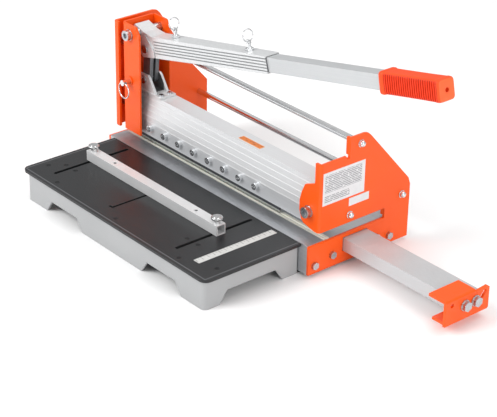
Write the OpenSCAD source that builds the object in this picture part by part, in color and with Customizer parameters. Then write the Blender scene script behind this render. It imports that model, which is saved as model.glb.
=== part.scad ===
/* [Frame] */
// Distance over the outer faces of the two end plates
frame_len = 466; // [450:1:500]
// Thickness of the folded steel end plates
plate_t = 4; // [3:0.5:5]
// Height of the bed and table surface above the ground
bed_top = 50; // [48:1:60]
// Clear height between the bed and the underside of the end plates
throat = 15; // [14:0.5:18]
// Diameter of the tie rods
rod_d = 9; // [8:0.5:10]

/* [Blade] */
// Length of the blade, which is the longest straight cut
blade_len = 330; // [320:1:340]
// Thickness of the blade
blade_t = 2; // [1.5:0.1:2]
// Number of cap screws that clamp the blade
blade_screw_n = 8; // [6:1:8]

/* [Lever] */
// Angle of the lever above the bed when the blade is down
lever_tilt = 12.5; // [12:0.5:13]
// Length of inner tube that shows between sleeve and grip
tube_out = 225; // [200:1:230]
// Outside width of the square inner tube
tube_w = 21.2; // [21:0.1:21.2]

/* [Table] */
// Width of the side table along the blade
table_w = 436; // [430:1:440]
// Depth of the side table
table_d = 171; // [168:1:172]
// Width of one foot at the table's corners
table_foot_w = 50; // [44:1:54]

/* [Support] */
// How far the pull-out support stands out of the near end plate
support_out = 222; // [200:1:224]
// Width of the support rail
rail_w = 45; // [44:0.5:46]

/* [Hidden] */

$fn = 48;
EPS = 0.5;           // how far a cutter runs past a face

half = frame_len / 2;
plate_in = half - plate_t;             // inner face of an end plate
under = bed_top + throat;              // underside of the end plates over the throat
bed_bottom = 5;
arm_top = bed_top - 1;                 // lower arm of a plate stays under the work
front_y = -19;                         // front face of the near end plate
far_front = -23.5;                       // front face of the far end plate
foot_y = 107;                          // rear end of the throat
rear_y = 156;                          // rear edges of the end plates
near_top = under + 104.5;
lug_top = near_top + 26;
far_top = under + 172;
shoulder_y = 152;
shoulder_z = under + 35;
fold_r = 5;                            // outside radius of the folds
lip_w = 8;                             // width of the short folded lips

mid_y = 9;                             // middle plane of the lever and the link
bed_front = -36;
bed_rear = 126;
bed_wall = 5;
bed_deck = 6;                          // thickness of the bed's top
bed_floor = 4;
boss_r = 7;
bed_bolt_r = 3.2;
bed_bolt_at = [[-25, 18], [8, 24], [92, 24], [118, 18]];
bed_hung_at = [[8, 24], [92, 24]];     // screw bosses that hang from the deck

rod_r = rod_d / 2;
upper_rod_at = [54, under + 117.5];
rear_rod_at = [139.5, under + 12.5];
front_rod_at = [38, under + 12.5];

tower_x = -half + 19;                  // outer face of the tower's web
tower_t = 3;
tower_end = tower_x + 42;
tower_front = -21;
tower_rear = 2 * mid_y - tower_front;
tower_top = under + 175;
rod_clear_y = 31;
rod_clear_z = under + 20;
tower_bolt_at = [[-10, under + 38], [28, under + 38], [-10, under + 138], [28, under + 138]];

pivot = [half - 22, under + 27];       // near pivot of the beam, X and Z
pivot_r = 5;
beam_near = half - 9;
beam_far = -half + 29;
beam_front = -10;
beam_back = 27;
beam_low = under + 1;
beam_band = under + 23;                // top of the flat clamping band
beam_top = under + 66;
beam_lip = -3;                         // front edge of the beam's top
slot_top = under + 22;                 // top of the blade's slot

blade_mid = -34;
blade_edge = bed_top - 0.5;
blade_screw_z = under + 15.5;
blade_screw_pitch = 35.5;
blade_screw_r = 3;
blade_head_r = 5;
blade_head_h = 6;

lever_at = [-half + 37, under + 159];  // fulcrum of the lever, X and Z
lever_bolt_r = 5;
cheek_t = 4;
fork_w = 18;                           // slot between the two cheeks of a fork
fork_front = mid_y - fork_w / 2;
fork_rear = mid_y + fork_w / 2;
link_top = [-half + 53, under + 137];  // upper pivot of the link
link_low = [-half + 49, under + 86];   // lower pivot of the link
link_pin_r = 4;
link_r = 8;
link_w = fork_w - 0.8;
open_pivot_gap = 2;                  // free play at the lower pivot

axis_v = -21;                          // sleeve axis below the fulcrum, across the lever
sleeve_u = 35;
sleeve_end = 298;
sleeve_w = 26;
sleeve_h_head = 33;
sleeve_h_mouth = 25;
bore_w = tube_w + 0.4;
tang_end = 91;
tube_lap = 70;                         // length of inner tube left in the sleeve
tube_wall = 1.6;
tube_start = sleeve_end - tube_lap;
grip_u = sleeve_end + tube_out;
grip_len = 108;
grip_w = 32;
tang_pin_u = 76;
tube_pin_u = 247.5;
pull_pin_r = 3;

lock_at = [-half + 37, under + 84];
lock_r = 4;
pivot_head_r = 8;                      // cap heads of the two pivot bolts
pivot_head_h = 7;

table_t = 4;
table_bolt_z = 36;
table_rear = bed_front - 1;
table_front = table_rear - table_d;
skirt_in = 7;                          // how far the skirt stands inside the top
skirt_t = 3;
skirt_w = table_w - 2 * skirt_in;
skirt_front = table_front + skirt_in - 2;
table_mid_w = 143;                     // width of the middle foot
cut_h = 19;
cut_slope = 13;
slot_w = 5.6;
slot_left = -172;
slot_right = 121;
slot_mid = -31;
slot_front = -181;
slot_back = -44;
slot_rear_y = -112;                    // rear end of the middle slot

fence_w = 16;
fence_y = -108;                        // middle of the fence
fence_wall = 1.6;
fence_x0 = slot_left - 8;
fence_x1 = slot_right + 9;
fence_r = 2.5;

rail_y = 51.5;
rail_h = 20;
rail_z = bed_top - 17;
rail_wall = 2.5;
bracket_t = 4;
rail_end = half + support_out - bracket_t;
rail_start = rail_end - 296;
rail_gap = 0.5;
bracket_low = 12;

// Places the children in the lever's own frame: X runs along the lever from
// the fulcrum, Z runs across it
module in_lever() {
    translate([lever_at[0], 0, lever_at[1]]) rotate([0, -lever_tilt, 0]) children();
}

// Cylinder along Y from y0 to y1, centred on x and z
module y_rod(r, y0, y1, x = 0, z = 0) {
    translate([x, y1, z]) rotate([90, 0, 0]) cylinder(r = r, h = y1 - y0);
}

// Cylinder along X from x0 to x1, centred on y and z
module x_rod(r, x0, x1, y = 0, z = 0) {
    translate([x0, y, z]) rotate([0, 90, 0]) cylinder(r = r, h = x1 - x0);
}

// Cylinder along Z from z0 to z1, centred on x and y
module z_rod(r, z0, z1, x = 0, y = 0) {
    translate([x, y, z0]) cylinder(r = r, h = z1 - z0);
}

// Box from its lowest to its highest corner
module box(lo, hi) {
    translate(lo) cube([hi[0] - lo[0], hi[1] - lo[1], hi[2] - lo[2]]);
}

// Outline drawn in Y and Z, carried along X from x0 to x1
module along_x(x0, x1) {
    translate([x0, 0, 0]) rotate([90, 0, 90]) linear_extrude(x1 - x0) children();
}

// Outline drawn in X and Z, carried along Y from y0 to y1
module along_y(y0, y1) {
    translate([0, y1, 0]) rotate([90, 0, 0]) linear_extrude(y1 - y0) children();
}

// Upright slot with round ends along Y
module y_slot(x, y0, y1, w, z0, z1) {
    box([x - w / 2, y0 + w / 2, z0], [x + w / 2, y1 - w / 2, z1]);
    z_rod(w / 2, z0, z1, x, y0 + w / 2);
    z_rod(w / 2, z0, z1, x, y1 - w / 2);
}

// Round ring of wire, lying in the X-Z plane round its own middle
module wire_ring(r, wire) {
    rotate([90, 0, 0]) rotate_extrude() translate([r, 0]) circle(r = wire, $fn = 24);
}

// Hexagon nut or bolt head along X with its flats wide apart
module x_hex(flats, x0, x1, at) {
    translate([x0, at[0], at[1]]) rotate([0, 90, 0])
        cylinder(r = flats / sqrt(3), h = x1 - x0, $fn = 6);
}

// Everything outside a fold's round corner, at the outer corner x, y.
// side is 1 where the plate lies at lower x, -1 where it lies at higher x
module fold_cut(x, y, side, z0, z1) {
    difference() {
        box([min(x - side * fold_r, x + side * EPS), y - EPS, z0],
            [max(x - side * fold_r, x + side * EPS), y + fold_r, z1]);
        z_rod(fold_r, z0 - EPS, z1 + EPS, x - side * fold_r, y + fold_r);
    }
}

// Lower part of an end plate, up to its underside over the throat
function throat_arm() = [[foot_y, under], [foot_y, arm_top], [bed_front, arm_top],
                         [bed_front, bed_bottom], [rear_y, bed_bottom]];

module near_outline() {
    polygon(concat(throat_arm(), [[rear_y, shoulder_z - 11], [shoulder_y, shoulder_z],
        [73, lug_top - 6], [68, lug_top - 1.5], [62, lug_top], [34, lug_top], [34, near_top - 4],
        [28, near_top - 4], [28, near_top], [front_y, near_top], [front_y, under]]));
}

module far_outline() {
    polygon(concat(throat_arm(), [[rear_y, shoulder_z - 6], [127, under + 62], [62, far_top - 7],
        [57, far_top - 2], [50, far_top], [far_front, far_top], [far_front, under]]));
}

// Bores that both end plates share: three tie rods and the bed bolts
module plate_bores(x0, x1) {
    for (at = [upper_rod_at, rear_rod_at, front_rod_at]) x_rod(3.3, x0, x1, at[0], at[1]);
    for (at = bed_bolt_at) x_rod(bed_bolt_r, x0, x1, at[0], at[1]);
}

module near_end_plate() {
    color("orangered") difference() {
        union() {
            along_x(plate_in, half) near_outline();
            // front flange with the rounded tongue that holds the beam's pivot
            along_y(front_y, front_y + plate_t) union() {
                polygon([[half, under], [half, near_top], [half - 11, near_top], [half - 11, under + 74],
                         [half - 12, under + 73], [half - 31, under + 65], [half - 37, under + 52],
                         [half - 41, under + 38], [half - 41, under + 22], [half - 37, under + 10],
                         [half - 32, under + 5], [half - 14, under + 1], [half - 10, under]]);
            }
            // folded lips on the lug and at the rear of the throat
            box([half - lip_w, 34, near_top], [half, 34 + plate_t, lug_top]);
            box([half - lip_w, foot_y, arm_top + 4], [half, foot_y + plate_t, under]);
        }
        fold_cut(half, front_y, 1, under - EPS, near_top + EPS);
        plate_bores(plate_in - EPS, half + EPS);
        y_rod(pivot_r + 0.1, front_y - EPS, front_y + plate_t + EPS, pivot[0], pivot[1]);
        // window for the pull-out support rail
        box([plate_in - EPS, rail_y - rail_w / 2 - 1, rail_z - rail_h / 2 - 1],
            [half + EPS, rail_y + rail_w / 2 + 1, rail_z + rail_h / 2 + 1]);
    }
}

module far_end_plate() {
    color("orangered") difference() {
        union() {
            along_x(-half, -plate_in) far_outline();
            box([-half, far_front, under], [-half + 12, far_front + plate_t, far_top]);
        }
        fold_cut(-half, far_front, -1, under - EPS, far_top + EPS);
        plate_bores(-half - EPS, -plate_in + EPS);
        for (at = tower_bolt_at) x_rod(3.2, -half - EPS, -plate_in + EPS, at[0], at[1]);
    }
}

// Rectangle in Y and Z between two corners
module plate_yz(lo, hi) {
    translate(lo) square([hi[0] - lo[0], hi[1] - lo[1]]);
}

module bed_section() {
    rail_y0 = rail_y - rail_w / 2 - rail_gap;
    rail_y1 = rail_y + rail_w / 2 + rail_gap;
    guide_z = rail_z - rail_h / 2 - rail_gap;
    difference() {
        union() {
            plate_yz([bed_front, bed_top - bed_deck], [bed_rear, bed_top]);
            plate_yz([bed_front, bed_bottom], [bed_front + bed_wall, bed_top]);
            plate_yz([bed_rear - bed_wall, bed_bottom], [bed_rear, bed_top]);
            plate_yz([bed_front, bed_bottom], [rail_y0, bed_bottom + bed_floor]);
            plate_yz([bed_rear - 18, bed_bottom], [bed_rear, bed_bottom + bed_floor]);
            // channel that guides the support rail
            plate_yz([rail_y0 - 4, bed_bottom], [rail_y0, bed_top]);
            plate_yz([rail_y1, guide_z - 4], [rail_y1 + 4, bed_top]);
            plate_yz([rail_y0 - 4, guide_z - 4], [rail_y1 + 4, guide_z]);
            for (at = bed_bolt_at) translate(at) circle(r = boss_r);
            for (at = bed_hung_at) plate_yz([at[0] - 2, at[1]], [at[0] + 2, bed_top - 2]);
        }
        for (at = bed_bolt_at) translate(at) circle(r = bed_bolt_r - 0.2);
        // groove that holds the cutting strip
        plate_yz([-6, bed_top - 4], [6, bed_top + EPS]);
    }
}

module bed() {
    color("silver") difference() {
        along_x(-plate_in, plate_in) bed_section();
        for (x = [-140, 140]) y_rod(3.1, bed_front - EPS, bed_front + bed_wall + EPS, x, table_bolt_z);
    }
}

module cutting_strip() {
    color("ivory") along_x(-plate_in + 1, plate_in - 1) polygon([[-5.9, bed_top - 3.9],
        [5.9, bed_top - 3.9], [5.9, bed_top], [1.6, bed_top], [0.3, bed_top - 1.8],
        [-0.3, bed_top - 1.8], [-1.6, bed_top], [-5.9, bed_top]]);
}

module bed_feet() {
    y0 = bed_front + 9;
    y1 = bed_rear - 9;
    color("#222222") for (at = [[-205, y0], [205, y0], [-205, y1], [205, y1], [0, 0]])
        translate([at[0], at[1], 0]) cylinder(r1 = 7.5, r2 = 8.5, h = bed_bottom);
}

module bed_bolts() {
    color("silver") for (side = [-1, 1], at = bed_bolt_at) {
        mirror([side < 0 ? 1 : 0, 0, 0]) {
            x_rod(bed_bolt_r - 0.3, plate_in - 22, half, at[0], at[1]);
            x_hex(10, half, half + 4.5, at);
        }
    }
}

module lever_tower() {
    color("orangered") difference() {
        union() {
            box([tower_x, tower_front, under], [tower_x + tower_t, tower_rear, tower_top]);
            along_y(tower_front, tower_front + tower_t) tower_flange_outline();
            along_y(tower_rear - tower_t, tower_rear) tower_flange_outline();
        }
        fold_cut(tower_x, tower_front, -1, under - EPS, tower_top + EPS);
        mirror([0, 1, 0]) fold_cut(tower_x, -tower_rear, -1, under - EPS, tower_top + EPS);
        y_rod(lever_bolt_r + 0.1, tower_front - EPS, tower_rear + EPS, lever_at[0], lever_at[1]);
        y_rod(5.5, tower_front - EPS, tower_front + tower_t + EPS, lock_at[0], lock_at[1]);
        for (at = tower_bolt_at) x_rod(3.2, tower_x - EPS, tower_x + tower_t + EPS, at[0], at[1]);
        // rear corner cut away round the front tie rod
        box([tower_x - EPS, rod_clear_y, under - EPS], [tower_end + EPS, tower_rear + EPS, rod_clear_z]);
    }
}

module tower_flange_outline() {
    polygon([[tower_x, under], [tower_end, under], [tower_end, tower_top - 12],
             [tower_end - 8, tower_top], [tower_x, tower_top]]);
}

module tower_bolts() {
    color("silver") for (at = tower_bolt_at) {
        x_rod(3, -half, tower_x + tower_t, at[0], at[1]);
        x_hex(10, -half - 4, -half, at);
        x_rod(5.2, tower_x + tower_t, tower_x + tower_t + 3, at[0], at[1]);
    }
}

module tower_spacers() {
    color("silver") for (at = tower_bolt_at) difference() {
        x_rod(6, -plate_in, tower_x, at[0], at[1]);
        x_rod(3.2, -plate_in - EPS, tower_x + EPS, at[0], at[1]);
    }
}

// Nylon blocks inside the tower that keep the beam's far end upright
module guide_pads() {
    gap = 0.35;
    x0 = beam_far + 1;
    x1 = tower_end - 10;
    top = under + 68;
    color("#2a2a2c") {
        box([x0, tower_front + tower_t, under + 3], [x1, beam_front - gap, top]);
        box([x0, beam_back + gap, rod_clear_z + 1], [x1, tower_rear - tower_t, top]);
    }
}

// Chrome rod between the end plates, tapped at both ends for its dome bolts
module tie_rod(at) {
    color("gainsboro") difference() {
        x_rod(rod_r, -plate_in, plate_in, at[0], at[1]);
        x_rod(2.9, -plate_in - EPS, -plate_in + 16, at[0], at[1]);
        x_rod(2.9, plate_in - 16, plate_in + EPS, at[0], at[1]);
    }
}

module upper_tie_rod() { tie_rod(upper_rod_at); }
module rear_tie_rod() { tie_rod(rear_rod_at); }
module front_tie_rod() { tie_rod(front_rod_at); }

// Dome-headed bolt through an end plate at plus x
module dome_bolt(at) {
    x_rod(2.8, plate_in - 14, half, at[0], at[1]);
    x_rod(5.6, half, half + 1.2, at[0], at[1]);
    translate([half + 1.2, at[0], at[1]]) rotate([0, 90, 0]) {
        cylinder(r = 4.8, h = 1.6);
        translate([0, 0, 1.6]) intersection() {
            sphere(r = 4.8);
            cylinder(r = 4.8, h = 5);
        }
    }
}

module rod_bolts() {
    color("silver") for (at = [upper_rod_at, rear_rod_at, front_rod_at]) {
        dome_bolt(at);
        mirror([1, 0, 0]) dome_bolt(at);
    }
}

// Front of the beam: a flat band, then four long facets that lean back
module beam_outline() {
    polygon([[beam_front, beam_low], [beam_back, beam_low], [beam_back, beam_top - 1],
             [beam_back - 1, beam_top], [beam_lip, beam_top], [-3.8, beam_top - 6],
             [-4.4, beam_top - 6.4], [-5.4, beam_top - 15], [-6, beam_top - 15.4],
             [-7.2, beam_top - 24], [-7.8, beam_top - 24.4], [-8.8, beam_top - 33],
             [-9.4, beam_top - 33.4], [-9.7, beam_band + 1], [beam_front, beam_band]]);
}

module beam() {
    color("lightgray") difference() {
        along_x(beam_far, beam_near) difference() {
            beam_outline();
            polygon([[-5, beam_band + 6], [23, beam_band + 6], [23, beam_top - 4], [1, beam_top - 4],
                     [-1, beam_top - 13]]);
            polygon([[12, beam_low + 4], [23, beam_low + 4], [23, beam_band + 2], [12, beam_band + 2]]);
            translate([-blade_t / 2 - 0.1, beam_low - EPS])
                square([blade_t + 0.2, slot_top - beam_low + EPS]);
        }
        for (x = blade_screw_x()) y_rod(blade_screw_r, beam_front - EPS, 9, x, blade_screw_z);
        y_rod(7, beam_front - EPS, beam_back + EPS, pivot[0], pivot[1]);
        for (at = clevis_screw_at) z_rod(2.1, beam_top - 4 - EPS, beam_top + EPS, at[0], at[1]);
    }
}

function blade_screw_x() = [for (i = [0 : blade_screw_n - 1])
    blade_mid + (i - (blade_screw_n - 1) / 2) * blade_screw_pitch];

module pivot_bush() {
    color("goldenrod") difference() {
        y_rod(6.95, beam_front, beam_back, pivot[0], pivot[1]);
        y_rod(pivot_r + 0.06, beam_front - EPS, beam_back + EPS, pivot[0], pivot[1]);
    }
}

// Socket cap bolt along Y, with the underside of its head at y0
module cap_bolt(r, y0, y1, at) {
    difference() {
        union() {
            y_rod(r, y0 - 1, y1, at[0], at[1]);
            y_rod(pivot_head_r, y0 - pivot_head_h, y0, at[0], at[1]);
        }
        translate([at[0], y0 - pivot_head_h + 4, at[1]]) rotate([90, 0, 0]) cylinder(r = 4.6, h = 5, $fn = 6);
    }
}

module pivot_bolt() {
    color("silver") cap_bolt(pivot_r, front_y - 1.5, beam_back + 11, pivot);
}

module pivot_washers() {
    color("silver") {
        washer_y(8.6, pivot_r + 0.15, front_y - 1.5, front_y, pivot);
        washer_y(9.5, pivot_r + 0.15, front_y + plate_t, beam_front - 0.3, pivot);
        washer_y(9.5, pivot_r + 0.15, beam_back + 0.3, beam_back + 2, pivot);
    }
}

module washer_y(r, bore, y0, y1, at) {
    difference() {
        y_rod(r, y0, y1, at[0], at[1]);
        y_rod(bore, y0 - EPS, y1 + EPS, at[0], at[1]);
    }
}

module nut_y(flats, bore, y0, y1, at) {
    difference() {
        translate([at[0], y1, at[1]]) rotate([90, 0, 0])
            cylinder(r = flats / sqrt(3), h = y1 - y0, $fn = 6);
        y_rod(bore, y0 - EPS, y1 + EPS, at[0], at[1]);
    }
}

module pivot_nut() {
    color("silver") nut_y(16, pivot_r, beam_back + 2, beam_back + 10, pivot);
}

module blade() {
    color("dimgray") difference() {
        along_x(blade_mid - blade_len / 2, blade_mid + blade_len / 2) polygon([
            [-blade_t / 2, slot_top - 0.5], [-blade_t / 2, blade_edge + 5], [-0.1, blade_edge],
            [0.1, blade_edge], [blade_t / 2, blade_edge + 5], [blade_t / 2, slot_top - 0.5]]);
        for (x = blade_screw_x()) y_rod(blade_screw_r + 0.15, -2, 2, x, blade_screw_z);
    }
}

module blade_screws() {
    color("silver") for (x = blade_screw_x()) difference() {
        union() {
            y_rod(blade_screw_r - 0.1, beam_front, 8.5, x, blade_screw_z);
            y_rod(blade_head_r, beam_front - blade_head_h, beam_front, x, blade_screw_z);
        }
        translate([x, beam_front - 3, blade_screw_z]) rotate([90, 0, 0]) cylinder(r = 2.9, h = 4, $fn = 6);
    }
}

clevis_x0 = beam_far + 2;
clevis_x1 = -half + 92;
clevis_base = 4;
clevis_screw_at = [[clevis_x0 + 8, mid_y - 4], [clevis_x1 - 6, mid_y - 8], [clevis_x1 - 6, mid_y + 8]];

module ear_outline() {
    z = beam_top + clevis_base;
    difference() {
        polygon([[clevis_x0, z - 1], [clevis_x1 - 14, z - 1], [link_low[0] + 13.5, link_low[1] + 6],
                 [link_low[0] + 9, link_low[1] + 9.5], [clevis_x0, link_low[1] + 7.5]]);
        translate(link_low) circle(r = link_pin_r + open_pivot_gap);
        translate(lock_at) circle(r = lock_r + 0.5);
    }
}

module clevis_bracket() {
    color("silver") difference() {
        union() {
            box([clevis_x0, fork_front - cheek_t - 1, beam_top],
                [clevis_x1, fork_rear + cheek_t + 2, beam_top + clevis_base]);
            along_y(fork_front - cheek_t, fork_front) ear_outline();
            along_y(fork_rear, fork_rear + cheek_t) ear_outline();
        }
        for (at = clevis_screw_at) z_rod(2.3, beam_top - EPS, beam_top + clevis_base + EPS, at[0], at[1]);
    }
}

module clevis_screws() {
    color("silver") for (at = clevis_screw_at) {
        z_rod(2, beam_top - 4, beam_top + clevis_base, at[0], at[1]);
        z_rod(3.8, beam_top + clevis_base, beam_top + clevis_base + 2.2, at[0], at[1]);
    }
}

link_len = norm(link_top - link_low);
link_lean = atan2(link_top[0] - link_low[0], link_top[1] - link_low[1]);

// Steel link: two thick bars joined by a web on the far side
module link() {
    bar = 6.4;
    y0 = mid_y - link_w / 2;
    y1 = mid_y + link_w / 2;
    color("gray") translate([link_low[0], 0, link_low[1]]) rotate([0, link_lean, 0]) difference() {
        union() {
            for (y = [y0, y1 - bar]) {
                box([-link_r, y, 0], [link_r, y + bar, link_len]);
                y_rod(link_r, y, y + bar, 0, 0);
                y_rod(link_r, y, y + bar, 0, link_len);
            }
            box([-link_r, y0, 13], [-link_r + 3, y1, link_len - 14]);
        }
        y_rod(link_pin_r, y0 - EPS, y1 + EPS, 0, 0);
        y_rod(link_pin_r + 0.06, y0 - EPS, y1 + EPS, 0, link_len);
    }
}

// Headed pin across a fork, with a snap ring at its far side
module fork_pin(at) {
    y_rod(link_pin_r, fork_front - cheek_t, fork_rear + cheek_t + 3, at[0], at[1]);
    y_rod(6.2, fork_front - cheek_t - 2.3, fork_front - cheek_t - 0.3, at[0], at[1]);
    y_rod(link_pin_r, fork_front - cheek_t - 1, fork_front - cheek_t, at[0], at[1]);
    y_rod(6, fork_rear + cheek_t + 0.4, fork_rear + cheek_t + 1.6, at[0], at[1]);
}

module upper_link_pin() { color("silver") fork_pin(link_top); }
module lower_link_pin() { color("silver") fork_pin(link_low); }

// Upper pivot of the link in the lever's own frame
link_du = [link_top[0] - lever_at[0], link_top[1] - lever_at[1]];
link_u = link_du[0] * cos(lever_tilt) + link_du[1] * sin(lever_tilt);
link_v = link_du[1] * cos(lever_tilt) - link_du[0] * sin(lever_tilt);
head_low = axis_v - 17.5;
head_end = sleeve_u - 2.3;

module cheek_outline() {
    polygon([[-4, head_low + 7], [3, head_low], [head_end, head_low + 1], [head_end, -4.5], [14, 1],
             [-6, 12.5], [-8, 11.5], [-11.5, 7.5], [-13, 2], [-13, -5], [-11, -12]]);
}

module lever_head() {
    y0 = fork_front - cheek_t;
    y1 = fork_rear + cheek_t;
    tang = tube_w / 2;
    pocket = 2.2;
    color("silver") in_lever() difference() {
        union() {
            along_y(y0, fork_front) cheek_outline();
            along_y(fork_rear, y1) cheek_outline();
            // sloping top that closes the fork over the fulcrum
            along_y(y0 + 1, y1 - 1) polygon([[-6, 12.5], [-8, 11.5], [-9, 10.4], [-6, 8.5], [13, -2.5],
                [head_end, -8.5], [head_end, -4.5], [14, 1]]);
            // solid block that joins the cheeks and carries the tang
            box([link_u + link_r + 1, y0 + 1, head_low + 1], [head_end, y1 - 1, -5]);
            box([head_end - 1, mid_y - tang, axis_v - tang], [tang_end, mid_y + tang, axis_v + tang]);
        }
        y_rod(lever_bolt_r + 0.06, y0 - EPS, y1 + EPS, 0, 0);
        y_rod(link_pin_r + 0.02, y0 - EPS, y1 + EPS, link_u, link_v);
        z_rod(pull_pin_r + 0.2, axis_v + tang - 9, axis_v + tang + EPS, tang_pin_u, mid_y);
        // slanted pocket in the outside of each cheek
        for (y = [y0 - EPS, y1 - pocket]) along_y(y, y + pocket + EPS)
            polygon([[15, -2.5], [head_end + EPS, -7], [head_end + EPS, -29]]);
    }
}

module lever_bolt() {
    color("silver") {
        cap_bolt(lever_bolt_r, tower_front - 1.5, tower_rear + 11, lever_at);
        washer_y(8.6, lever_bolt_r - 0.5, tower_front - 1.5, tower_front, lever_at);
    }
}

module lever_nut() {
    color("silver") nut_y(16, lever_bolt_r, tower_rear, tower_rear + 9, lever_at);
}

module lever_spacers() {
    color("silver") {
        washer_y(7, lever_bolt_r + 0.06, tower_front + tower_t, fork_front - cheek_t - 0.3, lever_at);
        washer_y(7, lever_bolt_r + 0.06, fork_rear + cheek_t + 0.3, tower_rear - tower_t, lever_at);
    }
}

groove_n = 5;
groove_w = 1.5;

// Cast sleeve: its height tapers towards the mouth, and long grooves run
// along both sides
module handle_sleeve() {
    y0 = mid_y - sleeve_w / 2;
    color("gainsboro") in_lever() difference() {
        along_y(y0, y0 + sleeve_w) polygon([
            [sleeve_u, axis_v - sleeve_h_head / 2], [sleeve_end, axis_v - sleeve_h_mouth / 2],
            [sleeve_end - 2, axis_v + sleeve_h_mouth / 2], [sleeve_u - 2, axis_v + sleeve_h_head / 2]]);
        box([sleeve_u - 3, mid_y - bore_w / 2, axis_v - bore_w / 2],
            [sleeve_end + 1, mid_y + bore_w / 2, axis_v + bore_w / 2]);
        for (i = [0 : groove_n - 1], y = [y0 - EPS, y0 + sleeve_w - 0.9]) {
            v = axis_v + (i - (groove_n - 1) / 2) * 4.4;
            box([sleeve_u - 3, y, v - groove_w / 2], [sleeve_end + 1, y + 0.9 + EPS, v + groove_w / 2]);
        }
        for (u = [tang_pin_u, tube_pin_u]) z_rod(4.3, axis_v + bore_w / 2 - EPS, axis_v + 20, u, mid_y);
    }
}

// Height of the sleeve's top face above its axis at distance u
function sleeve_top(u) = sleeve_h_head / 2
    + (sleeve_h_mouth - sleeve_h_head) / 2 * (u - sleeve_u) / (sleeve_end - sleeve_u);

pin_barrel_h = 5;
pin_travel = 5;
pin_tab = 1.5;                         // half thickness of the flat eye tabs

// Guide barrel screwed into the sleeve's top, with a hexagon foot
module pin_barrel(u) {
    top = axis_v + sleeve_top(u);
    color("silver") in_lever() difference() {
        union() {
            z_rod(4.25, axis_v + bore_w / 2 + 0.1, top + pin_barrel_h, u, mid_y);
            translate([u, mid_y, top + 0.1]) cylinder(r = 6.4, h = 3.6, $fn = 6);
        }
        z_rod(pull_pin_r + 0.08, axis_v, top + pin_barrel_h + EPS, u, mid_y);
    }
}

module tang_pin_barrel() { pin_barrel(tang_pin_u); }
module tube_pin_barrel() { pin_barrel(tube_pin_u); }

ring_r = 9;
ring_wire = 0.9;

// Height of a detent pin's eye above the lever's axis line
function pin_eye(u) = axis_v + sleeve_top(u) + pin_barrel_h + pin_travel + 2.6;

// Detent pin drawn clear of the bore, with a flat tab pierced for its ring
module pull_pin(u) {
    eye = pin_eye(u);
    color("silver") in_lever() difference() {
        union() {
            z_rod(pull_pin_r, axis_v + tube_w / 2 + 0.4, eye - 1.5, u, mid_y);
            box([u - 4, mid_y - pin_tab, eye - 2.4], [u + 4, mid_y + pin_tab, eye + 2.6]);
        }
        y_rod(1.3, mid_y - 6, mid_y + 6, u, eye);
    }
}

module tang_pin() { pull_pin(tang_pin_u); }
module tube_pin() { pull_pin(tube_pin_u); }

// The ring threads the eye along Y and stands up from it
module pull_ring(u) {
    color("silver") in_lever() translate([u, mid_y, pin_eye(u) + ring_r]) rotate([0, 0, 90])
        wire_ring(ring_r, ring_wire);
}

module tang_pin_ring() { pull_ring(tang_pin_u); }
module tube_pin_ring() { pull_ring(tube_pin_u); }

module inner_tube() {
    r = tube_w / 2;
    color("silver") in_lever() difference() {
        box([tube_start, mid_y - r, axis_v - r], [grip_u + 40, mid_y + r, axis_v + r]);
        box([tube_start - EPS, mid_y - r + tube_wall, axis_v - r + tube_wall],
            [grip_u + 41, mid_y + r - tube_wall, axis_v + r - tube_wall]);
        z_rod(pull_pin_r + 0.2, axis_v, axis_v + r + EPS, tube_pin_u, mid_y);
    }
}

// Square with bevelled corners, across the lever
module bevel_square(w, bevel) {
    h = w / 2;
    polygon([[-h + bevel, -h], [h - bevel, -h], [h, -h + bevel], [h, h - bevel],
             [h - bevel, h], [-h + bevel, h], [-h, h - bevel], [-h, -h + bevel]]);
}

// Slab of the grip between two distances along it
module grip_slab(u0, u1, w, bevel) {
    translate([grip_u + u0, mid_y, axis_v]) rotate([90, 0, 90]) linear_extrude(u1 - u0)
        bevel_square(w, bevel);
}

rib_n = 18;
rib_pitch = 4.8;

module grip() {
    color("orangered") in_lever() difference() {
        union() {
            grip_slab(0, 8, grip_w, 6);
            grip_slab(7, grip_len - 5, grip_w - 4, 6);
            for (i = [0 : rib_n - 1]) grip_slab(10 + i * rib_pitch, 13.2 + i * rib_pitch, grip_w - 1.5, 6.5);
            grip_slab(grip_len - 9, grip_len, grip_w - 3, 7);
        }
        box([grip_u - EPS, mid_y - tube_w / 2, axis_v - tube_w / 2],
            [grip_u + 40, mid_y + tube_w / 2, axis_v + tube_w / 2]);
        x_rod(3.2, grip_u + 39, grip_u + grip_len + EPS, mid_y, axis_v);
    }
}

bush_face = tower_front - 1.6;

module lock_pin_bush() {
    color("silver") difference() {
        union() {
            y_rod(5.4, tower_front, tower_front + tower_t + 1.5, lock_at[0], lock_at[1]);
            y_rod(7, bush_face, tower_front, lock_at[0], lock_at[1]);
        }
        y_rod(lock_r + 0.08, bush_face - EPS, tower_front + tower_t + 2, lock_at[0], lock_at[1]);
    }
}

lock_travel = 6.5;
lock_tip = fork_front - cheek_t - 2.2;
lock_collar = bush_face - lock_travel - 0.3;
lock_eye = lock_collar - 3.6;
lock_ring_r = 12.5;

// Transport lock, drawn out: pushed in, it enters the holes of the clevis ears
module lock_pin() {
    x = lock_at[0];
    z = lock_at[1];
    head = 4.6;
    color("silver") difference() {
        union() {
            y_rod(lock_r, lock_collar - 1, lock_tip, x, z);
            y_rod(head, lock_eye - 3.4, lock_collar, x, z);
        }
        x_rod(2.2, x - head - EPS, x + head + EPS, lock_eye, z);
    }
}

module lock_pin_ring() {
    color("silver") translate([lock_at[0], lock_eye, lock_at[1] - lock_ring_r])
        wire_ring(lock_ring_r, 1);
}

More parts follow.
